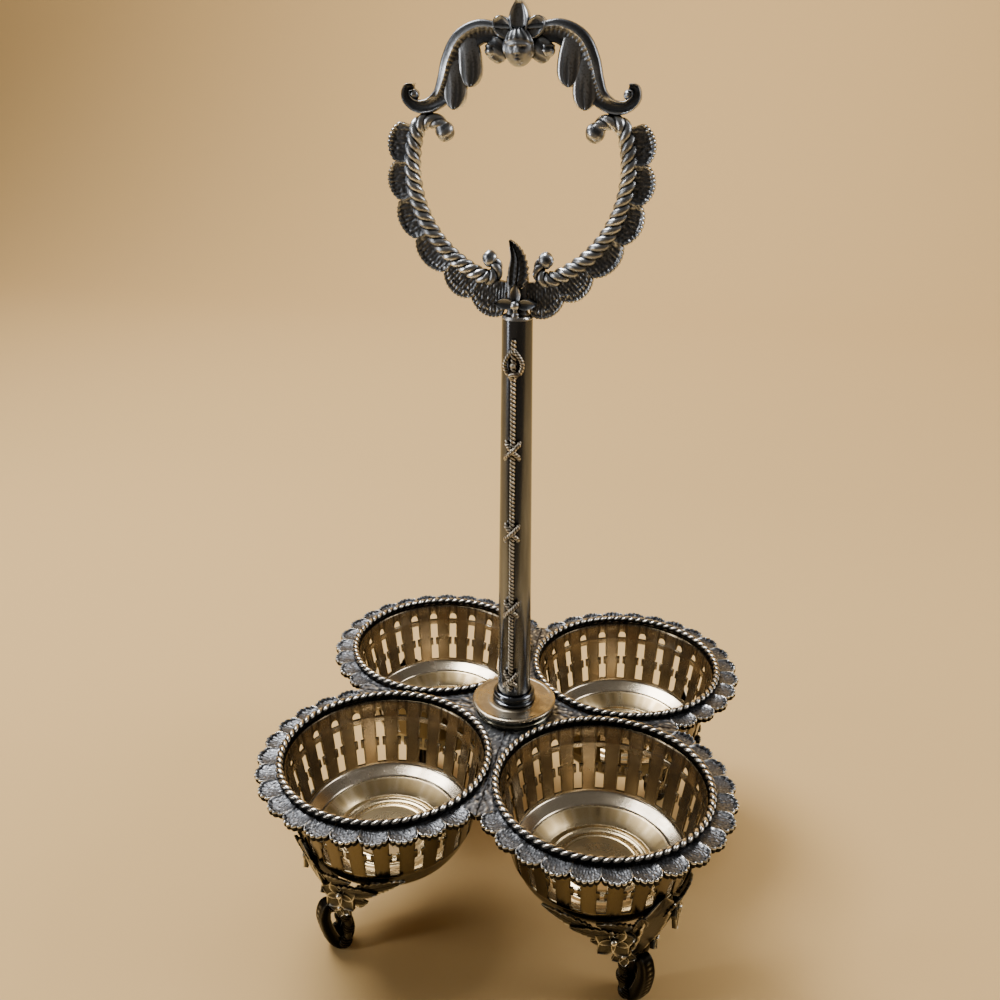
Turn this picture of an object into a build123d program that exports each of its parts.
from build123d import *
from math import acos, atan2, cos, degrees, pi, radians, sin, sqrt
import os

# A four-bottle cruet stand in plated cast metal: a pierced gallery of four cups on
# scroll feet, with a central column that carries an upright loop handle.
# Millimetres, +Z up. The origin is on the table, on the column's axis. The handle
# lies in the XZ plane, and the column's wire ornament faces the front, which is -Y.

# Whole stand
rim_height = 67.0  # table to the line of the rope borders
rope_ring_radius = 32.0  # centre line of the rope border round each cup
rope_radius = 1.25
neighbour_gap = 1.16  # between the rope borders of two neighbouring cups
seam_gap = 0.1  # soldered seam between two neighbouring gallery castings
solder_gap = 0.05  # left in every soldered or screwed seat
cut_overrun = 5.0  # how far a cutting tool runs past what it cuts

# Gallery casting
plate_thickness = 1.8
lobe_valley_width = 5.9  # rope line to the notch between two shell lobes
lobe_crest_width = 7.9  # rope line to the tip of a shell lobe
lobes_per_cup = 16
scallops_per_lobe = 5
scallop_bulge = 0.32
lobe_fullness_share = 0.55
plate_bore_radius = 1.75  # for the tie rod

# Cup basket
sheet = 0.8  # thickness of the raised metal
rope_setback = 1.7  # rope line to the inside of the basket's mouth
waist_taper = 3.9  # how much smaller the basket's radius is at its foot
wall_drop = 22.95  # height of the pierced wall
shoulder_width = 4.3
shoulder_drop = 2.2
shoulder_inner_fillet = 1.3
flange_width = 1.5  # turned-out lip under the gallery
slot_count = 24
slot_width = 2.7
slot_neck_width = 1.1
dome_top_share = 0.135
dome_foot_share = 0.235
slot_top_share = 0.323
neck_top_share = 0.547
neck_foot_share = 0.70
slot_foot_share = 0.955

# Spun dish inside the cup
dish_slope_width = 4.9
dish_depth = 3.7
dish_ring_radius = 15.4
dish_ring_thickness = 0.45

# Outer bowl under the cup
bowl_rim_inset = 1.0  # basket's outside to the bowl's outside
bowl_depth = 10.6
bowl_flat_radius = 14.4
bowl_fullness_share = 0.72

# Foot casting
leg_thickness_share = 0.0846  # of the mean of the bowl rim's radius and height above the table
leg_top_width = 8.0
leg_foot_width = 5.0
leg_knee_share = 0.50  # where the strap starts to widen, of the bowl rim's height
leg_hip_share = 0.75  # where it has its full width
curl_ball_radius = 2.1
spray_thickness = 1.1
spray_standoff = 2.3  # spray's back to the bowl's rim
flower_radius = 4.2
flower_depth = 1.6
flower_bead_radius = 1.3
flower_place_share = 0.72  # the leg's half width plus this share of the flower's radius
petal_width_share = 0.62  # of the flower's radius
petal_heart_share = 0.40

# Centre mount
drum_clearance = 1.7  # drum to the rope borders
drum_lift = 1.85  # disc's underside above the rope line
disc_overhang = 0.85
disc_thickness = 1.2
disc_edge_fillet = 0.4
collar_radius = 6.95
collar_height = 3.6
collar_bead_radius = 1.4
collar_neck_inset = 0.9

# Column
column_height = 126.6
column_foot_radius = 5.4
column_top_radius = 4.4
column_wall = 0.7
wire_radius = 0.6
wire_top_margin = 5.0
wire_foot_margin = 3.0
knot_length = 4.6
knot_angle = 38.0
knot_shares = (0.035, 0.257, 0.485, 0.714, 0.937)

# Tie rod with its washer and nut under the gallery
rod_radius = 1.5
rod_clearance = 0.1
washer_radius = 5.0
washer_thickness = 1.0
nut_flats = 6.0
nut_thickness = 2.6
rod_end_length = 1.5

# Handle: lower ring of two rope scrolls in a shell border
arm_radius = 31.0  # centre line of a rope arm
arm_offset = 1.5  # each arm's centre lies this far past the column's axis
arm_rope_radius = 2.4
arm_foot_rise = 9.2  # column top to the lowest point of the ring's centre line
arm_top_angle = 17.0
arm_foot_angle = -69.0
top_curl_radius = 4.2
top_curl_sweep = 143.0
foot_curl_radius = 2.7
foot_curl_sweep = -185.0
arm_ball_radius = 2.6
foot_ball_radius = 2.45
shell_thickness = 2.0
shell_valley_width = 5.3  # rope line to the notch between two lobes
shell_crest_width = 7.4
shell_foot_drop = 3.6  # how much deeper the border is at its foot
shell_angles = (19.0, 2.5, -14.0, -32.0, -51.0, -67.0, -82.0)

# Handle socket, leaf and flower
socket_cap_radius = 4.4
socket_cap_height = 1.0
plug_length = 9.0
block_width = 6.2
block_depth = 4.0
block_height = 12.2
leaf_length = 12.6
leaf_width = 5.8
leaf_thickness = 1.4
leaf_line_shares = (  # across in leaf widths, up in leaf lengths, and the width there
    (0.0, 0.0, 0.85), (0.12, 0.30, 1.0), (0.10, 0.62, 0.72), (-0.10, 0.85, 0.42), (-0.26, 1.0, 0.12),
)
handle_flower_radius = 6.2
handle_flower_depth = 1.2
handle_petal_width_share = 0.42  # of the flower's radius
handle_bead_radius = 1.3
handle_flower_rise = 4.4
drop_radius = 1.1
drop_fall = 3.1

# Handle: upper arch, in shares of its half width and height
arch_overhang = 0.6  # how much wider than the ring the arch is, on each side
arch_height = 21.6
arch_depth = 4.0
arch_band = 6.4
volute_eye_radius = 1.5
arch_line_shares = (
    (0.000, 0.870, 0.72), (0.174, 0.880, 0.75), (0.332, 0.880, 0.90), (0.468, 0.760, 1.00),
    (0.547, 0.560, 0.97), (0.601, 0.343, 0.81), (0.665, 0.171, 0.59), (0.766, 0.068, 0.44),
    (0.877, 0.060, 0.40), (0.955, 0.148, 0.34), (0.953, 0.260, 0.28), (0.899, 0.278, 0.25),
)
volute_eye_shares = (0.899, 0.195)
lappet_depth = 3.0
lappet_width = 5.6
lappet_shares = (
    ((0.420, 0.76), (0.412, 0.285)),
    ((0.575, 0.54), (0.562, 0.035)),
)
palmette_width = 13.0
palmette_height = 6.4
palmette_depth = 3.0
middle_lobe_rise_share = 0.86
middle_lobe_width_share = 0.42
side_lobe_rise_share = 0.62
side_lobe_width_share = 0.30
mask_width = 7.8
mask_height = 9.4
mask_depth = 7.0
mask_forward = 0.8
mask_rise_share = 0.705
ball_drop_radius = 2.4
ball_drop_place_share = 0.218
ball_drop_rise_share = 0.690

# Levels and radii that follow from the sizes above
rope_outer_radius = rope_ring_radius + rope_radius
cup_circle_radius = sqrt(2) * (rope_outer_radius + neighbour_gap / 2)
plate_top = rim_height - rope_radius
plate_bottom = plate_top - plate_thickness
mouth_radius = rope_ring_radius - rope_setback
waist_radius = mouth_radius - waist_taper
opening_radius = mouth_radius + sheet + solder_gap
waist_level = plate_top - wall_drop
shoulder_slope = shoulder_drop / shoulder_width
shoulder_end_radius = waist_radius - shoulder_width
shoulder_end_level = waist_level - shoulder_drop
bowl_rim_radius = waist_radius + sheet - bowl_rim_inset
bowl_rim_level = waist_level - sheet - solder_gap - shoulder_slope * (waist_radius - bowl_rim_radius)
bowl_foot_level = bowl_rim_level - bowl_depth
leg_thickness = sqrt(bowl_rim_radius * bowl_rim_level) * leg_thickness_share
drum_radius = cup_circle_radius - rope_outer_radius - drum_clearance
disc_radius = drum_radius + disc_overhang
disc_bottom = rim_height + drum_lift
disc_top = disc_bottom + disc_thickness
column_foot = disc_top + solder_gap
column_top = column_foot + column_height
arm_level = column_top + arm_foot_rise + arm_radius
shell_inner_radius = arm_radius + arm_rope_radius + solder_gap
arch_half_width = arm_radius + arch_overhang
top_curl_level = arm_level + (arm_radius - top_curl_radius) * sin(radians(arm_top_angle))
arch_foot = top_curl_level + top_curl_radius + arm_rope_radius + solder_gap
block_front = -block_depth / 2
cup_names = ("front_right", "back_right", "back_left", "front_left")
cup_angles = (-45, 45, 135, -135)
sides = {"left": 180, "right": 0}
standing = (Align.CENTER, Align.CENTER, Align.MIN)
hanging = (Align.CENTER, Align.CENTER, Align.MAX)


def column_radius(level):
    """Outside radius of the tapered column at a height above the table."""
    share = (level - column_foot) / column_height
    return column_foot_radius + (column_top_radius - column_foot_radius) * share


def polar(radius, angle, centre=(0, 0)):
    """A flat point from a radius and an angle in degrees."""
    return (centre[0] + radius * cos(radians(angle)), centre[1] + radius * sin(radians(angle)))


def spun(points):
    """A closed outline of (radius, height) points turned about the Z axis."""
    face = make_face(Polyline(*points, close=True))
    return revolve(Plane.XZ * face, Axis.Z)


def upright(face, depth, front):
    """A face drawn in X and Z, made into a slab that starts at y = front and runs back."""
    slab = extrude(face, depth)
    return Pos(0, front, 0) * Rot(90, 0, 0) * Pos(0, 0, -depth) * slab


def ribbon(points, widths):
    """A face that follows a line of points, as wide at each point as its width says."""
    last = len(points) - 1
    left, right = [], []
    for i, (x, y) in enumerate(points):
        before, after = points[max(i - 1, 0)], points[min(i + 1, last)]
        run = (after[0] - before[0], after[1] - before[1])
        size = sqrt(run[0] ** 2 + run[1] ** 2)
        across = (-run[1] / size * widths[i] / 2, run[0] / size * widths[i] / 2)
        left.append((x + across[0], y + across[1]))
        right.append((x - across[0], y - across[1]))
    edges = [Spline(*left), Line(left[-1], right[-1]), Spline(*reversed(right)), Line(right[0], left[0])]
    return make_face(edges)


def lens(base, tip, width):
    """A pointed leaf outline from base to tip."""
    middle = ((base[0] + tip[0]) / 2, (base[1] + tip[1]) / 2)
    run = (tip[0] - base[0], tip[1] - base[1])
    size = sqrt(run[0] ** 2 + run[1] ** 2)
    across = (-run[1] / size * width / 2, run[0] / size * width / 2)
    one = (middle[0] + across[0], middle[1] + across[1])
    other = (middle[0] - across[0], middle[1] - across[1])
    return make_face([ThreePointArc(base, one, tip), ThreePointArc(tip, other, base)])


def at_cup(shape, angle):
    """Move what is drawn round the Z axis, with +X outward, to one of the four cups."""
    return Rot(0, 0, angle) * Pos(cup_circle_radius, 0, 0) * shape


def outward_of(start, end, bulge):
    """The middle of the line from start to end, moved to its right-hand side by a bulge."""
    run = (end[0] - start[0], end[1] - start[1])
    size = sqrt(run[0] ** 2 + run[1] ** 2)
    return ((start[0] + end[0]) / 2 + run[1] / size * bulge, (start[1] + end[1]) / 2 - run[0] / size * bulge)


def lobe_edges(notch_angle):
    """The scalloped shell border of one cup, from one notch round to the other."""
    edges = []
    valley = rope_ring_radius + lobe_valley_width
    crest = rope_ring_radius + lobe_crest_width
    step = 2 * notch_angle / lobes_per_cup

    def border(lobe, share):
        swell = sin(pi * share) ** lobe_fullness_share if 0 < share < 1 else 0
        return valley + (crest - valley) * swell, -notch_angle + step * (lobe + share)

    for lobe in range(lobes_per_cup):
        for scallop in range(scallops_per_lobe):
            start = polar(*border(lobe, scallop / scallops_per_lobe))
            end = polar(*border(lobe, (scallop + 1) / scallops_per_lobe))
            edges.append(ThreePointArc(start, outward_of(start, end, scallop_bulge), end))
    return edges


def gallery_casting():
    """One cup's quarter of the gallery: its border of shell lobes and its share of the middle."""
    crest = rope_ring_radius + lobe_crest_width + scallop_bulge
    notch_angle = 135 - degrees(acos(cup_circle_radius / sqrt(2) / crest))
    edges = lobe_edges(notch_angle)
    end = edges[-1] @ 1
    heart = (seam_gap / sqrt(2) - cup_circle_radius, 0)
    along = ((end.X - heart[0]) + end.Y) / 2
    corner = (heart[0] + along, along)
    edges += [Line(end, corner), Line(corner, heart), Line(heart, (corner[0], -corner[1])),
              Line((corner[0], -corner[1]), edges[0] @ 0)]
    casting = Pos(0, 0, plate_bottom) * extrude(make_face(edges), plate_thickness)
    height = plate_thickness + 2 * cut_overrun
    casting -= Pos(0, 0, plate_bottom) * Cylinder(opening_radius, height)
    return casting - Pos(-cup_circle_radius, 0, plate_bottom) * Cylinder(plate_bore_radius, height)


def rope_border():
    """The rope ring that trims a cup's mouth."""
    return Pos(0, 0, rim_height) * Torus(rope_ring_radius, rope_radius)


def slot_tool():
    """One column of piercing: a domed window over a waisted slot, cut along +X."""
    def level(share):
        return plate_top - wall_drop * share

    half, neck = slot_width / 2, slot_neck_width / 2
    dome = make_face([
        Line((-half, level(dome_foot_share)), (half, level(dome_foot_share))),
        Line((half, level(dome_foot_share)), (half, level(dome_top_share) - half)),
        ThreePointArc((half, level(dome_top_share) - half), (0, level(dome_top_share)),
                      (-half, level(dome_top_share) - half)),
        Line((-half, level(dome_top_share) - half), (-half, level(dome_foot_share))),
    ])
    neck_top, neck_foot = level(neck_top_share), level(neck_foot_share)
    right_side = [(half, level(slot_top_share)), (half, neck_top), (neck, neck_top),
                  (neck, neck_foot), (half, neck_foot), (half, level(slot_foot_share))]
    slot = make_face(Polyline(*right_side, *[(-x, z) for x, z in reversed(right_side)], close=True))
    reach = mouth_radius + cut_overrun
    tools = [Plane.YZ * extrude(face, reach) for face in (dome, slot)]
    inner = Cylinder(waist_radius - cut_overrun, 2 * rim_height)
    return [tool - inner for tool in tools]


def cup_basket():
    """The pierced wall of a cup, with its lip under the gallery and its turned-in shoulder."""
    lip_top = plate_bottom - solder_gap
    wall_run = waist_taper / wall_drop
    lip_radius = mouth_radius + sheet - wall_run * (plate_top - lip_top)
    lip_foot_radius = lip_radius - wall_run * sheet
    profile = Plane.XZ * make_face(Polyline(
        (mouth_radius, plate_top), (waist_radius, waist_level), (shoulder_end_radius, shoulder_end_level),
        (shoulder_end_radius, shoulder_end_level - sheet),
        (waist_radius + sheet, waist_level - sheet + shoulder_slope * sheet),
        (lip_foot_radius, lip_top - sheet), (mouth_radius + sheet + flange_width, lip_top - sheet),
        (mouth_radius + sheet + flange_width, lip_top), (lip_radius, lip_top),
        (mouth_radius + sheet, plate_top), close=True))
    inside = [v for v in profile.vertices()
              if abs(v.Z - waist_level) < solder_gap and v.X < waist_radius + sheet / 2]
    profile = fillet(inside, shoulder_inner_fillet)
    outside = [v for v in profile.vertices() if v.Z < waist_level and v.X > waist_radius + sheet / 2]
    profile = fillet(outside, shoulder_inner_fillet + sheet)
    basket = revolve(profile, Axis.Z)
    tools = []
    for slot in slot_tool():
        tools += [Rot(0, 0, 360 * (i + 0.5) / slot_count) * slot for i in range(slot_count)]
    return basket - tools


def cup_dish():
    """The spun dish that closes the cup and carries the bottle, with its raised ring."""
    rim = shoulder_end_radius - solder_gap
    slope_foot = rim - dish_slope_width
    floor = shoulder_end_level - dish_depth
    dish = spun([(0, floor), (slope_foot, floor), (rim, shoulder_end_level),
                 (rim, shoulder_end_level - sheet), (slope_foot, floor - sheet), (0, floor - sheet)])
    return dish + Pos(0, 0, floor) * Torus(dish_ring_radius, dish_ring_thickness)


def cup_bowl():
    """The plain outer bowl that is soldered under the basket's shoulder."""
    inner_rim = bowl_rim_radius - sheet
    inner_level = bowl_rim_level - shoulder_slope * sheet
    middle_radius = bowl_flat_radius + (bowl_rim_radius - bowl_flat_radius) * bowl_fullness_share
    middle_level = bowl_foot_level + bowl_depth * (1 - bowl_fullness_share) * sqrt(2)
    foot_inside = bowl_foot_level + sheet
    inward = sheet / sqrt(2)
    edges = [
        Line((0, bowl_foot_level), (bowl_flat_radius, bowl_foot_level)),
        ThreePointArc((bowl_flat_radius, bowl_foot_level), (middle_radius, middle_level),
                      (bowl_rim_radius, bowl_rim_level)),
        Line((bowl_rim_radius, bowl_rim_level), (inner_rim, inner_level)),
        ThreePointArc((inner_rim, inner_level), (middle_radius - inward, middle_level + inward),
                      (bowl_flat_radius, foot_inside)),
        Line((bowl_flat_radius, foot_inside), (0, foot_inside)),
        Line((0, foot_inside), (0, bowl_foot_level)),
    ]
    return revolve(Plane.XZ * make_face(edges), Axis.Z)


def cup_envelope():
    """A cup's outside, filled and grown by the solder gap, to seat a casting on it."""
    middle_radius = bowl_flat_radius + (bowl_rim_radius - bowl_flat_radius) * bowl_fullness_share
    middle_level = bowl_foot_level + bowl_depth * (1 - bowl_fullness_share) * sqrt(2)
    foot = bowl_foot_level - solder_gap
    wall = waist_radius + sheet + solder_gap
    edges = [
        Line((0, foot), (bowl_flat_radius, foot)),
        ThreePointArc((bowl_flat_radius, foot), (middle_radius + solder_gap, middle_level - solder_gap),
                      (bowl_rim_radius + solder_gap, bowl_rim_level)),
        Line((bowl_rim_radius + solder_gap, bowl_rim_level), (wall, bowl_rim_level)),
        Line((wall, bowl_rim_level), (wall, waist_level)),
        Line((wall, waist_level), (mouth_radius + sheet + solder_gap, plate_top)),
        Line((mouth_radius + sheet + solder_gap, plate_top), (0, plate_top)),
        Line((0, plate_top), (0, foot)),
    ]
    return revolve(Plane.XZ * make_face(edges), Axis.Z)


# The scroll leg's line, as shares of the bowl's rim radius and height, and its
# thickness at each point as a share of the leg's thickness.
leg_line_shares = (
    (1.012, 0.975, 0.50), (0.985, 0.850, 0.66), (0.880, 0.650, 0.80), (0.722, 0.444, 0.90),
    (0.625, 0.250, 1.00), (0.620, 0.120, 1.10), (0.715, 0.035, 1.20), (0.835, 0.110, 1.20),
    (0.905, 0.260, 1.15), (0.960, 0.395, 1.05), (0.920, 0.495, 0.90), (0.840, 0.455, 0.80),
)


def foot_leg():
    """The cast scroll leg under a cup: a broad strap that rolls outward at the floor."""
    points = [(x * bowl_rim_radius, z * bowl_rim_level) for x, z, _ in leg_line_shares]
    widths = [t * leg_thickness for _, _, t in leg_line_shares]
    side = upright(ribbon(points, widths), leg_top_width, -leg_top_width / 2)
    half_top, half_foot = leg_top_width / 2, leg_foot_width / 2
    knee, hip = bowl_rim_level * leg_knee_share, bowl_rim_level * leg_hip_share
    front = make_face(Polyline((-half_foot, -cut_overrun), (half_foot, -cut_overrun), (half_foot, knee),
                               (half_top, hip), (half_top, rim_height), (-half_top, rim_height),
                               (-half_top, hip), (-half_foot, knee), close=True))
    leg = side & (Plane.YZ * extrude(front, 2 * bowl_rim_radius))
    leg += Pos(points[-1][0], 0, points[-1][1]) * Sphere(curl_ball_radius)
    floor = Pos(0, 0, -rim_height / 2) * Box(4 * bowl_rim_radius, 4 * bowl_rim_radius, rim_height)
    return leg - floor - cup_envelope()


# Leaves of a foot's spray on one side: base and tip as (angle from the outward line
# in degrees, share of the bowl's rim height), with the leaf's width as a share of its length.
spray_leaf_shares = (
    ((22.0, 0.66), (78.0, 1.06), 0.27),
    ((18.0, 0.60), (66.0, 0.93), 0.33),
    ((18.0, 0.66), (50.0, 1.10), 0.36),
)
spray_ground_leaf_shares = ((0.0, 0.53), (0.0, 1.12), 0.72)  # the leaf behind the leg, that joins both sides
# The bell that the leaves lie on, as shares of the bowl's rim radius and height.
spray_bell_shares = ((0.60, 0.50), (0.74, 0.66), (0.93, 0.84), (1.055, 1.02), (1.085, 1.20))
flower_level_share = 0.66  # of the bowl's rim height


def spray_bell():
    """The outer half of a thin bell, standing just off the bowl."""
    inner = [(r * bowl_rim_radius + spray_standoff - leg_thickness / 2, z * bowl_rim_level)
             for r, z in spray_bell_shares]
    outer = [(r + spray_thickness, z) for r, z in inner]
    face = make_face(Polyline(*inner, *outer[::-1], close=True))
    return Rot(0, 0, -90) * revolve(Plane.XZ * face, Axis.Z, revolution_arc=180)


def bell_leaf(bell, base, tip, width_share):
    """A pointed leaf cut from the bell, from base to tip."""
    spread = radians(tip[0] - base[0]) * bowl_rim_radius
    start = (-spread / 2, base[1] * bowl_rim_level)
    end = (spread / 2, tip[1] * bowl_rim_level)
    length = sqrt(spread ** 2 + (end[1] - start[1]) ** 2)
    prism = Plane.YZ * extrude(lens(start, end, length * width_share), 2 * bowl_rim_radius)
    return bell & (Rot(0, 0, (base[0] + tip[0]) / 2) * prism)


def foot_spray():
    """The leaves and flowers that spread from behind a leg over both sides of its bowl."""
    bell = spray_bell()
    pieces = [bell_leaf(bell, *spray_ground_leaf_shares)]
    flower_x = spray_bell_shares[1][0] * bowl_rim_radius - spray_thickness
    flower_y = leg_top_width / 2 + flower_radius * flower_place_share
    flower_z = flower_level_share * bowl_rim_level
    for side in (-1, 1):
        for base, tip, width_share in spray_leaf_shares:
            pieces.append(bell_leaf(bell, (side * base[0], base[1]), (side * tip[0], tip[1]), width_share))
        place = Pos(flower_x, side * flower_y, flower_z)
        pieces.append(place * Rot(0, 90, 0) * four_petals(flower_radius, flower_depth))
        pieces.append(place * Pos(flower_depth, 0, 0) * Sphere(flower_bead_radius))
    return pieces[0].fuse(*pieces[1:]) - leg_room()


def leg_room():
    """The leg's strap grown by the solder gap, cut from what lies behind it."""
    points = [(x * bowl_rim_radius, z * bowl_rim_level) for x, z, _ in leg_line_shares]
    widths = [t * leg_thickness + 2 * solder_gap for _, _, t in leg_line_shares]
    width = leg_top_width + 2 * solder_gap
    return upright(ribbon(points, widths), width, -width / 2)


def four_petals(radius, depth):
    """A flat four-petalled flower, its back at z = 0."""
    petals = [lens((0, 0), polar(radius, 90 * i + 45), radius * petal_width_share) for i in range(4)]
    solids = [extrude(petal, depth) for petal in petals]
    return solids[0].fuse(*solids[1:], Cylinder(radius * petal_heart_share, depth, align=standing))


def base_drum():
    """The round boss that lifts the disc above the gallery."""
    height = disc_bottom - plate_top - 2 * solder_gap
    drum = Pos(0, 0, plate_top + solder_gap) * Cylinder(
        drum_radius, height, align=standing)
    return drum - Cylinder(rod_radius + rod_clearance, 4 * rim_height)


def base_disc():
    """The round plate that the column stands on."""
    disc = Pos(0, 0, disc_bottom) * Cylinder(
        disc_radius, disc_thickness, align=standing)
    disc = fillet(disc.edges().group_by(Axis.Z)[-1], disc_edge_fillet)
    return disc - Cylinder(rod_radius + rod_clearance, 4 * rim_height)


def column_collar():
    """The beaded ring that hides the joint of column and disc."""
    bore = column_foot_radius + solder_gap
    neck = collar_radius - collar_neck_inset
    level = disc_top + solder_gap
    ring = spun([(bore, level), (neck, level), (neck, level + collar_height), (bore, level + collar_height)])
    bead = Torus(collar_radius - collar_bead_radius, collar_bead_radius)
    ring += Pos(0, 0, level + collar_height - collar_bead_radius) * bead
    return ring - Cylinder(bore, 4 * rim_height)


def column_tube():
    """The tapered tube between the disc and the handle."""
    return spun([(column_foot_radius, column_foot), (column_top_radius, column_top),
                 (column_top_radius - column_wall, column_top),
                 (column_foot_radius - column_wall, column_foot)])


def column_wire():
    """The fine rope with its knots, laid up the front of the column."""
    low = column_foot + collar_height + wire_foot_margin
    high = column_top - wire_top_margin

    def front(level):
        return -(column_radius(level) + wire_radius + solder_gap)

    lean = degrees(atan2(front(high) - front(low), high - low))
    rope = Pos(0, front(low), low) * Rot(-lean, 0, 0) * Cylinder(
        wire_radius, high - low, align=standing)
    knots = []
    for share in knot_shares:
        level = low + (high - low) * share
        for turn in (-knot_angle, knot_angle):
            bar = Rot(0, turn, 0) * Cylinder(wire_radius, knot_length)
            knots.append(Pos(0, front(level) - solder_gap, level) * bar)
    return rope.fuse(*knots)


def tie_rod():
    """The rod that draws the handle, column, disc and gallery together."""
    foot = plate_bottom - solder_gap - washer_thickness - nut_thickness - rod_end_length
    return Pos(0, 0, foot) * Cylinder(rod_radius, column_top - foot, align=standing)


def rod_washer():
    """The washer under the gallery."""
    washer = Cylinder(washer_radius, washer_thickness, align=hanging)
    washer -= Cylinder(rod_radius + rod_clearance, 4 * washer_thickness)
    return Pos(0, 0, plate_bottom - solder_gap) * washer


def rod_nut():
    """The nut that closes the tie rod."""
    nut = extrude(RegularPolygon(nut_flats / 2, 6, major_radius=False), -nut_thickness)
    nut -= Cylinder(rod_radius + solder_gap, 4 * nut_thickness)
    return Pos(0, 0, plate_bottom - 2 * solder_gap - washer_thickness) * nut


def arc_tube(centre, major, minor, start, sweep):
    """A round bar bent to an arc in the XZ plane, from a start angle through a sweep."""
    place = polar(major, start, centre)
    ring = Location((place[0], 0, place[1])) * Rot(0, -start, 0) * Circle(minor)
    return revolve(ring, Axis((centre[0], 0, centre[1]), (0, -1, 0)), revolution_arc=sweep)


def handle_arm(side):
    """One rope scroll of the handle's ring, curled inward at both ends."""
    centre = (-arm_offset, arm_level)
    start, sweep = arm_foot_angle, arm_top_angle - arm_foot_angle
    top_centre = polar(arm_radius - top_curl_radius, arm_top_angle, centre)
    foot_centre = polar(arm_radius - foot_curl_radius, arm_foot_angle, centre)
    top_ball = polar(top_curl_radius, arm_top_angle + top_curl_sweep, top_centre)
    foot_ball = polar(foot_curl_radius, arm_foot_angle + foot_curl_sweep, foot_centre)
    arm = arc_tube(centre, arm_radius, arm_rope_radius, start, sweep)
    arm += arc_tube(top_centre, top_curl_radius, arm_rope_radius, arm_top_angle, top_curl_sweep)
    arm += arc_tube(foot_centre, foot_curl_radius, arm_rope_radius, arm_foot_angle, foot_curl_sweep)
    arm += Pos(top_ball[0], 0, top_ball[1]) * Sphere(arm_ball_radius)
    arm += Pos(foot_ball[0], 0, foot_ball[1]) * Sphere(foot_ball_radius)
    return Rot(0, 0, sides[side]) * arm


def handle_shell(side):
    """The lobed shell border outside one rope scroll."""
    centre = (-arm_offset, arm_level)
    last = len(shell_angles) - 1

    def ground(i):
        return shell_foot_drop * max(0, i - last + 2) / 2

    edges = []
    for i in range(last):
        start = polar(arm_radius + shell_valley_width + ground(i), shell_angles[i], centre)
        end = polar(arm_radius + shell_valley_width + ground(i + 1), shell_angles[i + 1], centre)
        middle = (shell_angles[i] + shell_angles[i + 1]) / 2
        crest = arm_radius + shell_crest_width + (ground(i) + ground(i + 1)) / 2
        edges.append(ThreePointArc(start, polar(crest, middle, centre), end))
    foot = polar(shell_inner_radius, shell_angles[-1], centre)
    top = polar(shell_inner_radius, shell_angles[0], centre)
    half_way = polar(shell_inner_radius, (shell_angles[0] + shell_angles[-1]) / 2, centre)
    edges += [Line(edges[-1] @ 1, foot), ThreePointArc(foot, half_way, top), Line(top, edges[0] @ 0)]
    band = upright(make_face(edges), shell_thickness, -shell_thickness / 2)
    room = Pos(0, 0, column_top + block_height / 2) * Box(
        block_width + 2 * solder_gap, block_depth + 2 * solder_gap, block_height + 2 * solder_gap)
    return Rot(0, 0, sides[side]) * (band - room - cap_room())


def cap_room():
    """The socket's round cap grown by its seats, cut from what stands over it."""
    height = socket_cap_height + 2 * solder_gap
    return Pos(0, 0, column_top) * Cylinder(socket_cap_radius + solder_gap, 2 * height)


def handle_socket():
    """The threaded plug in the column's top, with the block that carries the handle."""
    level = column_top + solder_gap
    cap = Cylinder(socket_cap_radius, socket_cap_height, align=standing)
    plug_radius = column_top_radius - column_wall - solder_gap
    plug = Cylinder(plug_radius, plug_length + solder_gap, align=hanging)
    block = Box(block_width, block_depth, block_height - solder_gap, align=standing)
    bore = Cylinder(rod_radius + solder_gap, plug_length + cut_overrun, align=hanging)
    return Pos(0, 0, level) * (cap + plug + block - bore)


def handle_leaf(grow=0):
    """The sickle-shaped leaf that stands up inside the ring, grown by a clearance if asked."""
    foot = column_top + block_height - leaf_width / 2 - grow
    line = [(x * leaf_width, foot + z * leaf_length) for x, z, _ in leaf_line_shares]
    face = ribbon(line, [width * leaf_width + 2 * grow for _, _, width in leaf_line_shares])
    front = block_front - solder_gap - leaf_thickness - grow
    return upright(face, leaf_thickness + 2 * grow, front)


def handle_flower():
    """The small flower with its bead and drop on the front of the socket."""
    level = column_top + handle_flower_rise
    back = block_front - solder_gap
    width, depth = handle_flower_radius * handle_petal_width_share, handle_flower_depth
    petals = [lens((0, 0), polar(handle_flower_radius, angle), width) for angle in (0, 90, 180)]
    solids = [Pos(0, 0, level) * upright(petal, depth, -depth) for petal in petals]
    bead = Pos(0, -depth, level) * Sphere(handle_bead_radius)
    drop = Pos(0, -depth / 2, level - drop_fall) * Sphere(drop_radius)
    stem = Pos(0, -depth / 2, level - drop_fall / 2) * Box(drop_radius, depth, drop_fall)
    flower = solids[0].fuse(*solids[1:], bead, drop, stem)
    behind = Pos(0, depth, level) * Box(4 * handle_flower_radius, 2 * depth, 4 * handle_flower_radius)
    return Pos(0, back, 0) * (flower - behind) - handle_leaf(solder_gap) - cap_room()


def arch_points():
    """The arch's line from its middle out to the eye of the right volute."""
    return [(x * arch_half_width, arch_foot + z * arch_height) for x, z, _ in arch_line_shares]


def arch_band_half(grow):
    """The arch's band from its middle to the right volute, grown by a clearance."""
    widths = [share * arch_band + 2 * grow for _, _, share in arch_line_shares]
    depth = arch_depth + 2 * grow
    return upright(ribbon(arch_points(), widths), depth, -depth / 2)


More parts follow.
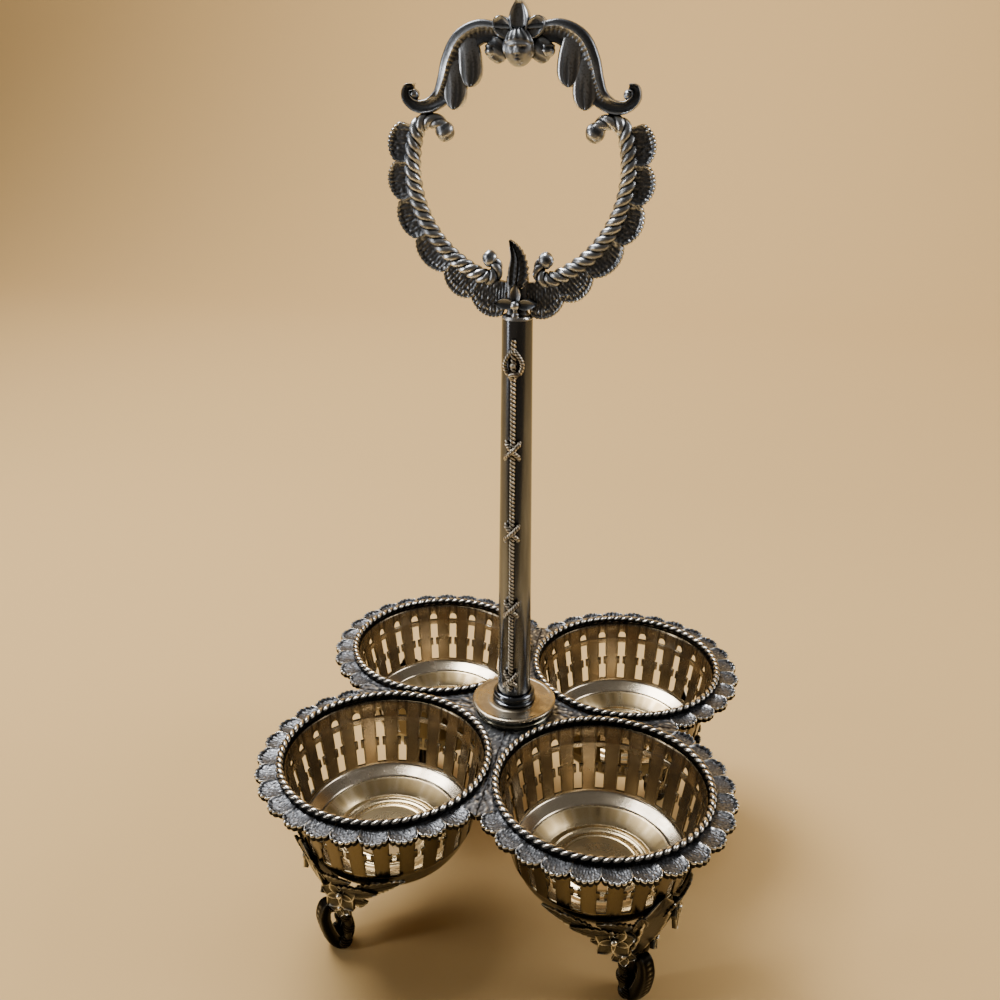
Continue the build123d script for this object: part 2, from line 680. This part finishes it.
def handle_arch():
    """The upper casting: shoulders, hanging leaves and two upturned volutes."""
    eye = (volute_eye_shares[0] * arch_half_width, arch_foot + volute_eye_shares[1] * arch_height)
    half = arch_band_half(0)
    half += Pos(eye[0], 0, eye[1]) * Sphere(volute_eye_radius)
    for base, tip in lappet_shares:
        ends = [(x * arch_half_width, arch_foot + z * arch_height) for x, z in (base, tip)]
        half += upright(lens(*ends, lappet_width), lappet_depth, -lappet_depth / 2)
    return half + mirror(half, Plane.YZ)


def arch_room():
    """The middle of the arch, grown by the solder gap, cut from what is set on it."""
    half = arch_band_half(solder_gap)
    return half + mirror(half, Plane.YZ)


def handle_palmette():
    """The three-lobed leaf on top of the arch."""
    foot = arch_points()[0][1]
    tip = (0, foot + arch_line_shares[0][2] * arch_band / 2 + palmette_height * middle_lobe_rise_share)
    face = lens((0, foot), tip, palmette_width * middle_lobe_width_share)
    for turn in (-1, 1):
        side_tip = (turn * palmette_width / 2, foot + palmette_height * side_lobe_rise_share)
        face += lens((0, foot), side_tip, palmette_width * side_lobe_width_share)
    return upright(face, palmette_depth, -palmette_depth / 2) - arch_room()


def handle_mask():
    """A plain oval boss with the bulk of the small mask at the arch's middle."""
    level = arch_foot + arch_height * mask_rise_share
    head = scale(Sphere(mask_width / 2), by=(1, mask_depth / mask_width, mask_height / mask_width))
    return Pos(0, -mask_forward, level) * head - arch_room()


def ball_drops():
    """The two beads that hang beside the mask."""
    level = arch_foot + arch_height * ball_drop_rise_share
    place = arch_half_width * ball_drop_place_share
    balls = [Pos(turn * place, 0, level) * Sphere(ball_drop_radius) - arch_room() for turn in (-1, 1)]
    return Compound(children=[solid for ball in balls for solid in ball.solids()])


def write(shape, name):
    """Write one node's STEP file."""
    export_step(shape, "parts/" + name + ".step")


def build():
    """Make every node of the stand."""
    os.makedirs("parts", exist_ok=True)
    for make in (gallery_casting, rope_border, cup_basket, cup_dish, cup_bowl, foot_leg, foot_spray):
        shape = make()
        for cup, angle in zip(cup_names, cup_angles):
            write(at_cup(shape, angle), make.__name__ + "_" + cup)
    for make in (base_drum, base_disc, column_collar, column_tube, column_wire, tie_rod, rod_washer, rod_nut,
                 handle_socket, handle_leaf, handle_flower, handle_arch, handle_palmette, handle_mask):
        write(make(), make.__name__)
    write(ball_drops(), "handle_ball_drops")
    for side in sides:
        write(handle_arm(side), "handle_rope_arm_" + side)
        write(handle_shell(side), "handle_shell_border_" + side)


build()
